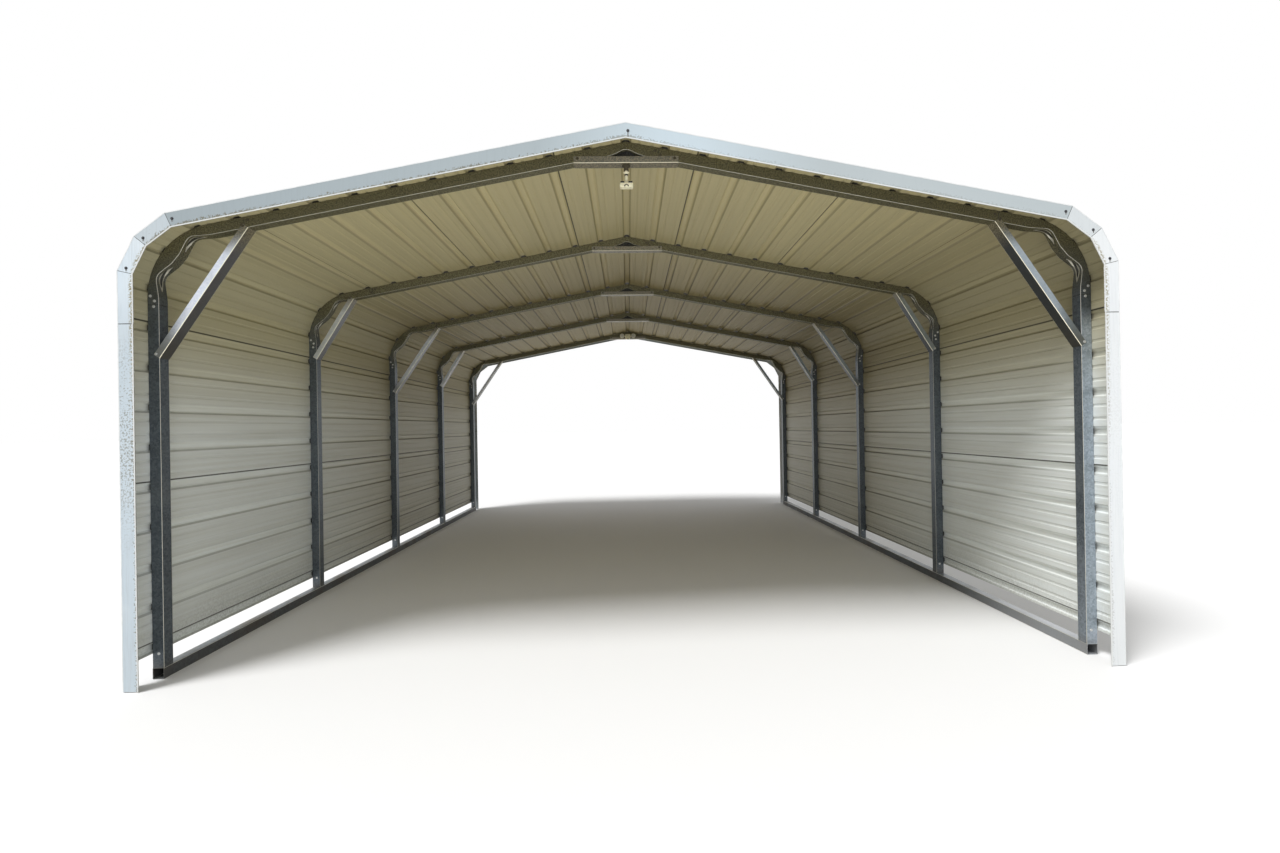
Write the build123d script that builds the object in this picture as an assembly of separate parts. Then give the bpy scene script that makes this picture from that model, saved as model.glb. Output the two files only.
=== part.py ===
from build123d import *
import math
import os

# Open-ended steel carport with rounded eaves, in millimetres.
# X runs across the bay, Y along it and Z up. The origin is on the ground, in
# the middle of the plan. The front end faces -Y, and frames count from it.

# Overall size
width_over_legs = 5486.4
leg_top = 2133.6
frame_count = 5
frame_spacing = 1524.0
roof_slope = 10.87
overhang = 152.4

# Square tube of the frames and base rails
tube = 63.5
tube_wall = 1.9
tube_corner = 3.2
slip = 0.3

# Swaged ends and rail pins, which slide into the next tube
spigot_length = 90.0
spigot_neck = 10.0

# Eave bend; its inner side has a belly between two crimps, at angles from the middle
eave_radius = 420.0
eave_stub = 47.0
eave_joint_run = 2240.0
crimp_angle = 22.0
crimp_reach = 41.0
crimp_depth = 24.0
crimp_corner = 34.0
crimp_radius = 60.0
crimp_run_out = 250.0
belly_angle = 6.0
belly_corner = 17.0
belly_radius = 95.0
die_radius = 80.0
die_half_angle = 38.0
die_bite = 13.0
die_rim = 22.0

# Rafters; the left one carries the peak bend, which has one crimp
peak_joint_run = 198.0
peak_crimp_reach = 92.0
peak_crimp_depth = 18.5
peak_crimp_corner = 25.0
peak_corner = 30.0

# U-channel braces
brace_gauge = 1.9
brace_flange = 38.0
brace_corner = 3.0
long_brace_drop = 304.8
long_brace_reach = 508.0
short_brace_drop = 114.0
short_brace_reach = 320.0
peak_brace_length = 610.0

# Ribbed sheets, which run lengthwise over the frames
sheet_gauge = 1.0
sheet_seat = 0.3
rib_pitch = 228.6
rib_height = 19.0
rib_foot_width = 64.0
rib_crown_width = 28.0
minor_rib_height = 3.5
minor_rib_foot = 22.0
minor_rib_crown = 10.0
minor_ribs_per_pitch = 2
lap_gap = 0.3
lap_lift = 3.0
pitches_per_sheet = 4
ridge_half_pitches = 2
sheets_per_side = 5

# Folded end trim
trim_gauge = 1.0
trim_hem = 1.2
trim_hem_width = 9.0
trim_return = 64.0
trim_lip = 3.6
trim_lip_width = 6.0
roof_trim_face = 87.0
leg_trim_face = 85.0
trim_folds = 3
trim_splice_height = 1995.0
trim_foot_gap = 4.0
trim_gap = 0.3

# Sensor light under the front peak brace
sensor_plate = 34.0
sensor_plate_thickness = 4.0
sensor_arm_top = 20.0
sensor_arm_bottom = 14.0
sensor_arm_length = 32.0
sensor_knuckle = 25.0
sensor_screw = 8.0
sensor_screw_length = 34.0
sensor_neck = 15.0
sensor_neck_length = 44.0
sensor_flare = 38.0
sensor_flare_length = 20.0
sensor_head_width = 79.0
sensor_head_height = 27.0
sensor_head_length = 42.0
sensor_head_corner = 8.0
sensor_slot_width = 26.0
sensor_slot_height = 6.0
sensor_slot_rise = 7.0
sensor_slot_depth = 9.0
sensor_slot_drop = 3.0

# Twin floodlight on the rear peak
flood_height = 2972.0
flood_box_width = 92.0
flood_box_height = 68.0
flood_box_depth = 46.0
flood_box_corner = 8.0
flood_slot_width = 52.0
flood_slot_height = 13.0
flood_slot_depth = 8.0
flood_arm = 15.0
flood_lamp_reach = 97.0
flood_lamp_drop = 2.0
flood_lamp_back = 21.0
flood_lamp_front = 38.0
flood_lamp_depth = 72.0
flood_lamp_barrel = 24.0
flood_lamp_rim = 5.0
flood_lens_recess = 8.0
flood_knob_reach = 28.0
flood_knob = 20.0
flood_knob_length = 26.0

# Worked-out places
slope = math.radians(roof_slope)
half_width = width_over_legs / 2
eave_turn = math.pi / 2 - slope
bend_x = half_width - eave_radius
bend_z = leg_top + eave_stub
roof_run = (bend_x + eave_radius * math.sin(slope)) / math.cos(slope)
bend_run = eave_radius * eave_turn
apex_z = bend_z + eave_radius * math.cos(slope) + roof_run * math.sin(slope)
frame_line = frame_spacing * (frame_count - 1)
rail_length = frame_line + tube
sheet_length = rail_length + 2 * overhang
bore = tube - 2 * tube_wall
spigot_size = bore - 2 * slip
spigot_bore = spigot_size - 2 * tube_wall
brace_width = tube + 2 * slip + 2 * brace_gauge
rib_slope = math.atan2(rib_height, (rib_foot_width - rib_crown_width) / 2)
lap_rise = sheet_gauge + lap_gap
trim_stand = sheet_seat + rib_height + lap_rise + sheet_gauge + trim_gap + trim_hem + trim_gauge
sides = (-1, 1)


def frame_y(number):
    """Middle plane of a frame, counted from the front."""
    return (number - 1) * frame_spacing - frame_line / 2


def skin_point(run, out=0.0):
    """Point at a run along the frame's outer face from the ridge, and out from that face."""
    side = -1 if run < 0 else 1
    run = abs(run)
    if run == 0:
        return Vector(0, 0, apex_z + out / math.cos(slope))
    if run <= roof_run:
        x = run * math.cos(slope) + out * math.sin(slope)
        z = apex_z - run * math.sin(slope) + out * math.cos(slope)
    elif run <= roof_run + bend_run:
        turn = eave_turn - (run - roof_run) / eave_radius
        x = bend_x + (eave_radius + out) * math.cos(turn)
        z = bend_z + (eave_radius + out) * math.sin(turn)
    else:
        x = half_width + out
        z = bend_z - (run - roof_run - bend_run)
    return Vector(side * x, 0, z)


def in_bend(run):
    return roof_run <= abs(run) <= roof_run + bend_run


def skin_edge(start, end):
    """Edge between two (run, out) points: an arc where it follows the bend, else a line."""
    first = skin_point(*start)
    last = skin_point(*end)
    if start[1] == end[1] and in_bend(start[0]) and in_bend(end[0]):
        middle = skin_point((start[0] + end[0]) / 2, start[1])
        return ThreePointArc(first, middle, last)
    return Line(first, last)


def across(shape, depth):
    """Extrude a face that lies in the XZ plane by the depth, half to each side."""
    return extrude(shape, depth / 2, dir=(0, 1, 0), both=True)


def at_side(side, shape):
    return shape if side > 0 else mirror(shape, about=Plane.YZ)


def tube_section(size, wall, corner):
    outer = RectangleRounded(size, size, corner)
    return outer - RectangleRounded(size - 2 * wall, size - 2 * wall, corner - wall)


def straight_tube(length):
    """Square tube standing on the origin."""
    return extrude(tube_section(tube, tube_wall, tube_corner), length)


def sleeve_section():
    """Section of a tube that slides into the frame's tube."""
    outer = RectangleRounded(spigot_size, spigot_size, tube_corner - tube_wall)
    return outer - Rectangle(spigot_bore, spigot_bore)


def spigot():
    """Reduced end that slides into the next tube; its own tube ends at the origin."""
    neck = Rectangle(tube - tube_wall, tube - tube_wall) - Rectangle(spigot_bore, spigot_bore)
    sleeve = extrude(sleeve_section(), spigot_neck + spigot_length)
    return Pos(0, 0, -spigot_neck) * (extrude(neck, spigot_neck) + sleeve)


def set_along(origin, direction):
    """Plane whose Z runs in the direction and whose X is the world's Y."""
    return Plane(origin=origin, x_dir=(0, 1, 0), z_dir=direction)


def base_rail():
    """Tube on the ground under the right-hand legs."""
    middle = (half_width - tube / 2, -rail_length / 2, tube / 2)
    start = Plane(origin=middle, x_dir=(1, 0, 0), z_dir=(0, 1, 0))
    return start * straight_tube(rail_length)


def leg():
    """Right leg, on its rail, in the plane of its frame."""
    return Pos(half_width - tube / 2, 0, tube) * straight_tube(leg_top - tube)


def rail_pin():
    """Short tube that stands on the rail inside the right leg, and is welded to the rail."""
    return Pos(half_width - tube / 2, 0, tube) * extrude(sleeve_section(), spigot_length)


def crimp_die(run, bite, grow):
    """Wheel with a V rim that pinches the inner wall at a run, its rim at a depth there."""
    radius = die_radius + grow / math.sin(math.radians(die_half_angle))
    hub = skin_point(run, -bite - die_radius)
    half_rim = die_rim * math.tan(math.radians(die_half_angle))
    rim = Polyline(
        (0, -half_rim),
        (radius - die_rim, -half_rim),
        (radius, 0),
        (radius - die_rim, half_rim),
        (0, half_rim),
        close=True,
    )
    wheel = revolve(make_face(rim), axis=Axis.Y)
    return Pos(hub.X, hub.Y, hub.Z) * wheel


def eave_outline(inset):
    """Side view of the eave bend, drawn in from its real outline by the inset."""
    middle = roof_run + bend_run / 2
    bottom = roof_run + bend_run + eave_stub
    run_per_degree = math.radians(1) * eave_radius
    half_wave = [
        (crimp_reach, 0.0, crimp_run_out - inset),
        (crimp_angle, crimp_corner, crimp_radius + inset),
        (belly_angle, -belly_corner, belly_radius - inset),
    ]
    wave = [(-turn, out, radius) for turn, out, radius in half_wave] + half_wave[::-1]
    inner = FilletPolyline(
        skin_point(eave_joint_run, inset - tube),
        *[skin_point(middle + turn * run_per_degree, inset - tube + out) for turn, out, _ in wave],
        skin_point(bottom, inset - tube),
        radius=[radius for _, _, radius in wave],
    )
    top = (eave_joint_run, -inset)
    roof_tangent = (roof_run, -inset)
    wall_tangent = (roof_run + bend_run, -inset)
    foot = (bottom, -inset)
    edges = [
        skin_edge(top, roof_tangent),
        skin_edge(roof_tangent, wall_tangent),
        skin_edge(wall_tangent, foot),
        skin_edge(foot, (bottom, inset - tube)),
        *inner.edges(),
        Line(skin_point(eave_joint_run, inset - tube), skin_point(*top)),
    ]
    return make_face(edges)


def peak_outline(inset):
    """Side view of the left rafter, which passes the ridge and is crimped under it."""
    right = (peak_joint_run, -inset)
    left = (-eave_joint_run, -inset)
    inner = FilletPolyline(
        skin_point(-eave_joint_run, inset - tube),
        skin_point(-peak_crimp_reach, inset - tube),
        skin_point(0, inset - tube + peak_crimp_corner),
        skin_point(peak_crimp_reach, inset - tube),
        skin_point(peak_joint_run, inset - tube),
        radius=[crimp_run_out - inset, crimp_radius + inset, crimp_run_out - inset],
    )
    top = FilletPolyline(
        skin_point(*left), skin_point(0, -inset), skin_point(*right), radius=peak_corner - inset
    )
    edges = [
        *top.edges(),
        Line(skin_point(*right), skin_point(peak_joint_run, inset - tube)),
        *inner.edges(),
        Line(skin_point(-eave_joint_run, inset - tube), skin_point(*left)),
    ]
    return make_face(edges)


def rounded(body):
    """Solid tube with its long corners rounded."""
    faces = body.faces().sort_by(Axis.Y)
    rims = faces[0].edges() + faces[-1].edges()
    along = [edge for edge in rims if abs(edge.length - tube) > slip]
    return fillet(along, tube_corner)


def bent_tube(outline, crimp_runs, depth):
    """Hollow bent tube from its side view, pinched at each crimp; its bore has plain corners."""
    body = rounded(across(outline(0.0), tube))
    bore = across(outline(tube_wall), tube - 2 * tube_wall)
    for run in crimp_runs:
        body -= crimp_die(run, tube - depth - die_bite, 0.0)
        bore -= crimp_die(run, tube - depth - die_bite, tube_wall)
    return body - bore


def eave_bend():
    """Right eave bend, whose lower end slides down into its leg."""
    middle = roof_run + bend_run / 2
    step = math.radians(crimp_angle) * eave_radius
    body = bent_tube(eave_outline, (middle - step, middle + step), crimp_depth)
    foot = (half_width - tube / 2, 0, leg_top)
    return body + set_along(foot, (0, 0, -1)) * spigot()


def straight_rafter():
    """Right rafter, whose lower end slides into the eave bend."""
    upper = skin_point(peak_joint_run, -tube / 2)
    lower = skin_point(eave_joint_run, -tube / 2)
    down_slope = lower - upper
    body = set_along(upper, down_slope) * straight_tube(down_slope.length)
    return body + set_along(lower, down_slope) * spigot()


def peak_rafter():
    """Left rafter with the peak bend, which reaches past the ridge into the right one."""
    body = bent_tube(peak_outline, (0,), peak_crimp_depth)
    down_left = Vector(-math.cos(slope), 0, -math.sin(slope))
    down_right = Vector(math.cos(slope), 0, -math.sin(slope))
    body += set_along(skin_point(-eave_joint_run, -tube / 2), down_left) * spigot()
    return body + set_along(skin_point(peak_joint_run, -tube / 2), down_right) * spigot()


def channel(length):
    """U-channel along Z, web on the XZ plane, flanges towards +Y."""
    outer = Pos(0, -brace_gauge) * Rectangle(
        brace_width, brace_flange, align=(Align.CENTER, Align.MIN)
    )
    outer = fillet(outer.vertices().group_by(Axis.Y)[0], brace_corner)
    inner = Rectangle(
        brace_width - 2 * brace_gauge, brace_flange, align=(Align.CENTER, Align.MIN)
    )
    inner = fillet(inner.vertices().group_by(Axis.Y)[0], brace_corner - brace_gauge)
    return extrude(outer - inner, length)


def knee_brace(drop, reach):
    """Right knee brace from a drop below the leg's top to a reach in from the leg."""
    leg_face = half_width - tube
    foot = Vector(leg_face - slip, 0, leg_top - drop)
    head_x = leg_face - reach
    head_z = apex_z - head_x * math.tan(slope) - (tube + slip) / math.cos(slope)
    direction = Vector(head_x, 0, head_z) - foot
    place = Plane(origin=foot, x_dir=(0, -1, 0), z_dir=direction)
    return place * channel(direction.length)


def peak_web_z():
    """Upper face of the peak brace's web."""
    return apex_z - peak_brace_length / 2 * math.tan(slope) - (tube + slip) / math.cos(slope)


def peak_brace():
    start = (-peak_brace_length / 2, 0, peak_web_z())
    return set_along(start, (1, 0, 0)) * channel(peak_brace_length)


def rib(centre, rise=0.0):
    """Major rib as (run, out) points, spread by the rise where it laps over another."""
    half_foot = rib_foot_width / 2 + rise / math.sin(rib_slope)
    half_crown = rib_crown_width / 2 + rise * math.tan(rib_slope / 2)
    return [
        (centre - half_foot, 0.0),
        (centre - half_crown, rib_height + rise),
        (centre + half_crown, rib_height + rise),
        (centre + half_foot, 0.0),
    ]


def minor_ribs(start):
    """Stiffening ribs in the flat after a major rib."""
    points = []
    for number in range(1, minor_ribs_per_pitch + 1):
        centre = start + rib_pitch * number / (minor_ribs_per_pitch + 1)
        points += [
            (centre - minor_rib_foot / 2, 0.0),
            (centre - minor_rib_crown / 2, minor_rib_height),
            (centre + minor_rib_crown / 2, minor_rib_height),
            (centre + minor_rib_foot / 2, 0.0),
        ]
    return points


def lifted(foot, crown):
    """Point on a rib's flank, at the lap lift above its foot."""
    share = lap_lift / (crown[1] - foot[1])
    return (foot[0] + share * (crown[0] - foot[0]), lap_lift)


def thicken(points):
    """Outline of a sheet whose lower face follows the points."""
    normals = []
    for start, end in zip(points, points[1:]):
        run = end[0] - start[0]
        rise = end[1] - start[1]
        length = math.hypot(run, rise)
        normals.append((-rise / length, run / length))
    upper = []
    for index, (run, out) in enumerate(points):
        before = normals[max(index - 1, 0)]
        after = normals[min(index, len(normals) - 1)]
        share = sheet_gauge / (1 + before[0] * after[0] + before[1] * after[1])
        upper.append((run + share * (before[0] + after[0]), out + share * (before[1] + after[1])))
    return points, upper


def with_tangents(points):
    """Add a point where a flat runs across the start or end of the bend."""
    result = [points[0]]
    for start, end in zip(points, points[1:]):
        for tangent in (roof_run, roof_run + bend_run):
            if start[0] < tangent < end[0] and start[1] == end[1]:
                result.append((tangent, start[1]))
        result.append(end)
    return result


def sheet_from(points):
    seated = [(run, out + sheet_seat) for run, out in points]
    lower, upper = thicken(with_tangents(seated))
    outline = lower + upper[::-1]
    edges = [skin_edge(start, end) for start, end in zip(outline, outline[1:] + outline[:1])]
    return across(make_face(edges), sheet_length)


def side_sheet(order):
    """Right-hand sheet, counted down from the ridge sheet, whose top rib lies under the lap."""
    first = ridge_half_pitches + (order - 1) * pitches_per_sheet
    last = first + pitches_per_sheet
    top = rib(first * rib_pitch)
    points = [lifted(top[0], top[1])] + top[1:]
    for number in range(first, last):
        points += minor_ribs(number * rib_pitch)
        if number + 1 < last:
            points += rib((number + 1) * rib_pitch)
    if order < sheets_per_side:
        lap = rib(last * rib_pitch, lap_rise)
        points += lap[:3] + [lifted(lap[3], lap[2])]
    else:
        points += rib(last * rib_pitch)
    return sheet_from(points)


def ridge_sheet():
    """Sheet bent over the ridge, with a rib on the ridge and a lap down each side."""
    half = rib(0)[2:]
    for number in range(ridge_half_pitches):
        half += minor_ribs(number * rib_pitch)
        if number + 1 < ridge_half_pitches:
            half += rib((number + 1) * rib_pitch)
    lap = rib(ridge_half_pitches * rib_pitch, lap_rise)
    half += lap[:3] + [lifted(lap[3], lap[2])]
    other = [(-run, out) for run, out in reversed(half)]
    return sheet_from(other + [(0, rib_height)] + half)


def trim_line(out, end_z):
    """Right half of the folded trim line, from the ridge round the eave to a height."""
    fold = eave_turn / trim_folds
    points = [skin_point(0, out)]
    for number in range(trim_folds):
        turn = eave_turn - (number + 0.5) * fold
        radius = (eave_radius + out) / math.cos(fold / 2)
        points.append(Vector(bend_x + radius * math.cos(turn), 0, bend_z + radius * math.sin(turn)))
    points.append(Vector(half_width + out, 0, end_z))
    return points


def strip(outer, inner, start_y, depth):
    """Band between two lines in the XZ plane, from a Y position towards +Y."""
    band = make_face(Polyline(*outer, *reversed(inner), close=True))
    return Pos(0, start_y, 0) * extrude(band, depth, dir=(0, 1, 0))


def folded_trim(line, face):
    """Front L-trim along a line: a face with a rolled lip, and a hemmed return over the ribs."""
    face_y = -sheet_length / 2 - trim_gap - trim_gauge
    outer = line(trim_stand)
    under = line(trim_stand - trim_gauge)
    edge = line(trim_stand - face)
    body = strip(outer, edge, face_y, trim_gauge)
    body += strip(line(trim_stand - face + trim_lip_width), edge, face_y - trim_lip, trim_lip)
    body += strip(outer, under, face_y, trim_return)
    hem_y = face_y + trim_return - trim_hem_width
    body += strip(under, line(trim_stand - trim_gauge - trim_hem), hem_y, trim_hem_width)
    return body


def roof_trim():
    return folded_trim(lambda out: trim_line(out, trim_splice_height), roof_trim_face)


def leg_trim():
    top = trim_splice_height - trim_gap
    return folded_trim(
        lambda out: [Vector(half_width + out, 0, top), Vector(half_width + out, 0, trim_foot_gap)],
        leg_trim_face,
    )


def stack_down(top_z, layers):
    """Turned pieces hung one under another, as (top width, bottom width, height)."""
    body = None
    for top, bottom, height in layers:
        shape = Cylinder(top / 2, height) if top == bottom else Cone(bottom / 2, top / 2, height)
        placed = Pos(0, 0, top_z - height / 2) * shape
        body = placed if body is None else body + placed
        top_z -= height
    return body


def sensor_light():
    """Small light that hangs from the web of the front peak brace on a jointed arm."""
    top_z = peak_web_z() - brace_gauge - trim_gap
    arm = stack_down(
        top_z,
        [
            (sensor_plate, sensor_plate, sensor_plate_thickness),
            (sensor_arm_top, sensor_arm_bottom, sensor_arm_length),
        ],
    )
    knuckle_z = top_z - sensor_plate_thickness - sensor_arm_length - sensor_knuckle / 4
    screw = Cylinder(sensor_screw / 2, sensor_screw_length, rotation=(0, 90, 0))
    knuckle = Pos(0, 0, knuckle_z) * (Sphere(sensor_knuckle / 2) + screw)
    neck = stack_down(
        knuckle_z,
        [
            (sensor_neck, sensor_neck, sensor_neck_length),
            (sensor_neck, sensor_flare, sensor_flare_length),
        ],
    )
    head_top = knuckle_z - sensor_neck_length - sensor_flare_length
    head = Pos(0, 0, head_top - sensor_head_height / 2) * sensor_head()
    return Pos(0, frame_y(1), 0) * (arm + knuckle + neck + head)


def sensor_head():
    """Rounded head with a bent slot in its front."""
    head = Box(sensor_head_width, sensor_head_length, sensor_head_height)
    head = fillet(head.edges(), sensor_head_corner)
    half = sensor_slot_width / 2
    slot = Polyline(
        (-half, 0, 0),
        (0, 0, sensor_slot_rise),
        (half, 0, 0),
        (half, 0, -sensor_slot_height),
        (0, 0, sensor_slot_rise - sensor_slot_height),
        (-half, 0, -sensor_slot_height),
        close=True,
    )
    cutter = across(make_face(slot), 2 * sensor_slot_depth)
    return head - Pos(0, -sensor_head_length / 2, -sensor_slot_drop) * cutter


def flood_lamp():
    """Round lamp that widens from its back to a recessed lens, facing -Y."""
    lens = flood_lamp_front - flood_lamp_rim
    half_section = Polyline(
        (0, 0),
        (flood_lamp_back, 0),
        (flood_lamp_front, -flood_lamp_depth + flood_lamp_barrel),
        (flood_lamp_front, -flood_lamp_depth),
        (lens, -flood_lamp_depth),
        (lens, -flood_lamp_depth + flood_lens_recess),
        (0, -flood_lamp_depth + flood_lens_recess),
        close=True,
    )
    return revolve(make_face(half_section), axis=Axis.Y)


def flood_box():
    """Mounting box with a slot across its front and two knobs under it."""
    box = Box(flood_box_width, flood_box_depth, flood_box_height)
    box = fillet(box.edges(), flood_box_corner)
    slot = Box(flood_slot_width, 2 * flood_slot_depth, flood_slot_height)
    box -= Pos(0, -flood_box_depth / 2, 0) * slot
    for side in sides:
        knob_z = -(flood_box_height + flood_knob_length) / 2 + flood_box_corner / 2
        knob = Cylinder(flood_knob / 2, flood_knob_length)
        box += Pos(side * flood_knob_reach, -flood_box_corner / 2, knob_z) * knob
    return box


def floodlight():
    """Twin lamp on a box, fixed to the front of the rear peak brace."""
    middle_y = frame_y(frame_count) - (brace_width + flood_box_depth) / 2 - trim_gap
    arms = Cylinder(flood_arm / 2, 2 * flood_lamp_reach, rotation=(0, 90, 0))
    body = flood_box() + arms
    for side in sides:
        body += Pos(side * flood_lamp_reach, flood_arm / 2, -flood_lamp_drop) * flood_lamp()
    return Pos(0, middle_y, flood_height) * body


def both_sides(shape):
    return [at_side(side, shape) for side in sides]


def brace_set(drop, reach):
    return both_sides(knee_brace(drop, reach)) + [peak_brace()]


def frame_nodes():
    """Sub-parts of all frames: each is made once and set at every frame."""
    shared = {
        "legs": both_sides(leg()) + both_sides(rail_pin()),
        "eave_bends": both_sides(eave_bend()),
        "left_rafter": [peak_rafter()],
        "right_rafter": [straight_rafter()],
    }
    long_braces = brace_set(long_brace_drop, long_brace_reach)
    short_braces = brace_set(short_brace_drop, short_brace_reach)
    nodes = {}
    for number in range(1, frame_count + 1):
        place = Pos(0, frame_y(number), 0)
        parts = {**shared, "braces": long_braces if number % 2 else short_braces}
        for name, solids in parts.items():
            nodes[f"frame_{number}_{name}"] = [place * solid for solid in solids]
    return nodes


def sheet_nodes():
    """Ribbed sheets, from the ridge down to the walls."""
    names = ("roof_sheet_upper", "roof_sheet_lower", "eave_sheet", "wall_sheet_upper", "wall_sheet_lower")
    nodes = {"ridge_sheet": [ridge_sheet()]}
    for order, name in enumerate(names, start=1):
        left, right = both_sides(side_sheet(order))
        nodes["left_" + name] = [left]
        nodes["right_" + name] = [right]
    return nodes


def trim_nodes():
    """Folded trim on the front end, and the same on the rear end."""
    roof = both_sides(roof_trim())
    legs = both_sides(leg_trim())
    nodes = {}
    for end in ("front", "rear"):
        if end == "rear":
            roof = [mirror(piece, about=Plane.XZ) for piece in roof]
            legs = [mirror(piece, about=Plane.XZ) for piece in legs]
        nodes[end + "_left_roof_trim"] = [roof[0]]
        nodes[end + "_right_roof_trim"] = [roof[1]]
        nodes[end + "_leg_trims"] = legs
    return nodes


def all_nodes():
    return {
        "base_rails": both_sides(base_rail()),
        **frame_nodes(),
        **sheet_nodes(),
        **trim_nodes(),
        "sensor_light": [sensor_light()],
        "floodlight": [floodlight()],
    }


os.makedirs("parts", exist_ok=True)
for node, solids in all_nodes().items():
    pieces = [piece for solid in solids for piece in solid.solids()]
    export_step(Compound(children=pieces, label=node), f"parts/{node}.step")
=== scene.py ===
import math

import bmesh
import bpy
from mathutils import Matrix, Vector


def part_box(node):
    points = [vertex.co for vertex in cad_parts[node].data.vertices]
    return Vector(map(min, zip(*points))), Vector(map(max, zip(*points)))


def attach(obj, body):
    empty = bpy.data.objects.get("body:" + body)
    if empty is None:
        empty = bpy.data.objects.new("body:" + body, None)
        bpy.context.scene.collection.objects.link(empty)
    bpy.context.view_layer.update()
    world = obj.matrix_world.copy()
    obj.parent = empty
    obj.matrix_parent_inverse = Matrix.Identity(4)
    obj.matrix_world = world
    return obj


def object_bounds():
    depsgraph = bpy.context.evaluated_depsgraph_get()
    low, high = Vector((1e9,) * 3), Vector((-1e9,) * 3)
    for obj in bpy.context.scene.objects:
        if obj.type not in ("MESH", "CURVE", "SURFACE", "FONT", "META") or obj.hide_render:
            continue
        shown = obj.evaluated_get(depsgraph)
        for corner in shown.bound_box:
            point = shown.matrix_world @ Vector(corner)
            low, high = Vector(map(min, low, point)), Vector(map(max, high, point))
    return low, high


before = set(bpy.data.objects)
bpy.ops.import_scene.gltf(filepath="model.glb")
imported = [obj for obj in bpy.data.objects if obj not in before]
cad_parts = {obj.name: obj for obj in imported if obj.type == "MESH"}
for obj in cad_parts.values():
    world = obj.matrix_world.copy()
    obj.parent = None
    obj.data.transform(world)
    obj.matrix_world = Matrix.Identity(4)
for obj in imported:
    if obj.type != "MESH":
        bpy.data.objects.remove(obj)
cad_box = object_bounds()

# Sizes of the carport, in metres, as in the CAD
WIDTH = 5.4864
LEG_TOP = 2.1336
FRAMES = 5
FRAME_SPACING = 1.524
SLOPE = math.radians(10.87)
TUBE = 0.0635
EAVE_RADIUS = 0.42
EAVE_STUB = 0.047
EAVE_JOINT_RUN = 2.24
PEAK_JOINT_RUN = 0.198
# A knee brace's drop below the leg's top, and its reach in from the leg
LONG_BRACE = (0.3048, 0.508)
SHORT_BRACE = (0.114, 0.32)
PEAK_BRACE_LENGTH = 0.61
BRACE_OUT = 0.0022
BRACE_CLEARANCE = 0.0003
# A crimp's distance from its bend's middle, and the length and width of its hollow
CRIMP_RUN = 0.1613
CRIMP_HALF_LENGTH = 0.085
CRIMP_HALF_WIDTH = 0.0125
RIB_PITCH = 0.2286
SHEET_SKIN = 0.0013
SHEET_PITCHES = 4
LAP_SEAM = 0.465
TRIM_STAND = 0.0241
ROOF_TRIM_FACE = 0.087
TRIM_FOLDS = 3
TRIM_SPLICE = 1.995
TRIM_FOOT = 0.004
TRIM_LIP = 0.0036

# Screws: the sides, radius, foot and top of each step of a head, then the screws' places
SCREW_STEPS = ((12, 0.0088, -0.0004, 0.001), (6, 0.0058, 0.001, 0.0036))
SCREW_TAPER = 0.92
# At a joint: how far past it along the tube, and how deep from the outer face
LEG_JOINT_SCREWS = ((-0.051, 0.017), (-0.022, 0.04), (0.01, 0.035))
ROOF_JOINT_SCREWS = ((-0.022, 0.022), (0.014, 0.042))
FOOT_SCREW_Z = 0.145
FOOT_SCREW_SHIFT = 0.005
KNEE_SCREW_INSET = 0.01
KNEE_SCREW_OUT = 0.028
PEAK_SCREW_INSET = 0.022
PEAK_SCREW_RISE = 0.024
SHEET_SCREW_RIBS = 22
SHEET_SCREW_STEP = 0.042
TRIM_SCREW_IN = 0.04
FOLD_SCREW_STEP = 0.024
APEX_SCREW_X = 0.012
APEX_SCREW_DROP = 0.008

# Dirt lines, rust runs, the painted highlights along the trims' edges, and the plate painted as shade
# under each peak bend
LINE_WIDTH = 0.003
LINE_DEPTH = 0.0004
LINE_INSET = 0.0025
FOLD_LINE_INSET = 0.002
FOLD_LINE_WIDTH = 0.0024
SPLICE_LINE_WIDTH = 0.004
MARK_DEPTH = 0.0005
RUST_WIDTH = 0.0045
RUST_LENGTH = 0.018
APEX_RUST_LENGTH = 0.036
PEAK_SHADE_HALF = 0.11
PEAK_SHADE_FOOT = 0.03
PEAK_SHADE_TOP = 0.022
PEAK_SHADE_DEPTH = 0.002
EDGE_HIGHLIGHT_WIDTH = 0.005
EDGE_HIGHLIGHT_DEPTH = 0.0006

# Sensor light, measured from the low front of its box
WINDOW_HALF = 0.0135
WINDOW_SET_BACK = 0.0012
WINDOW_LOW = 0.005
WINDOW_HIGH = 0.015
WINDOW_SIZE = (0.009, 0.002)
# Black bars painted as the shade on the sensor head's shoulders
SHOULDER_SHADE_START = (0.012, -0.006, 0.0305)
SHOULDER_SHADE_LENGTH = 0.023
SHOULDER_SHADE_SIZE = (0.009, 0.02)
# Its round parts: radius, drop from the box's top to the middle, and depth
# The collar is a black ring painted as the shade at the sensor's neck
COLLAR = (0.0112, 0.0572, 0.006)
# The bracket's plate is painted dark as the shade under the brace
BRACKET_PLATE = (0.0245, 0.0025, 0.0044)
BRACKET_SLEEVE = (0.0146, 0.0175, 0.028)

# Floodlight lenses
LENS_RADIUS = 0.0325
LENS_DOME = 0.2
LENS_X = 0.097
LENS_Z = 2.97
LENS_AHEAD = 0.11395

# Sizes of the finishes' patterns. Zinc crystals, dust, mildew and moulded grain are finer
# on the real thing, and are drawn as coarse as they need to show
TUBE_CRYSTAL = 0.01
RAIL_CRYSTAL = 0.014
CHANNEL_CRYSTAL = 0.009
ZINC_GRAIN = 0.004
DUST_GRAIN = 0.007
GRIME_SPECK = 0.012
MILDEW_SPECK = 0.011
MOULDED_GRAIN = 0.0012
DUST_BLOTCH = 0.02
TUBE_CLOUD = 0.3
RAIL_CLOUD = 0.25
CHANNEL_CLOUD = 0.12
SHEET_CLOUD = 0.45
TRIM_CLOUD = 0.35
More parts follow.
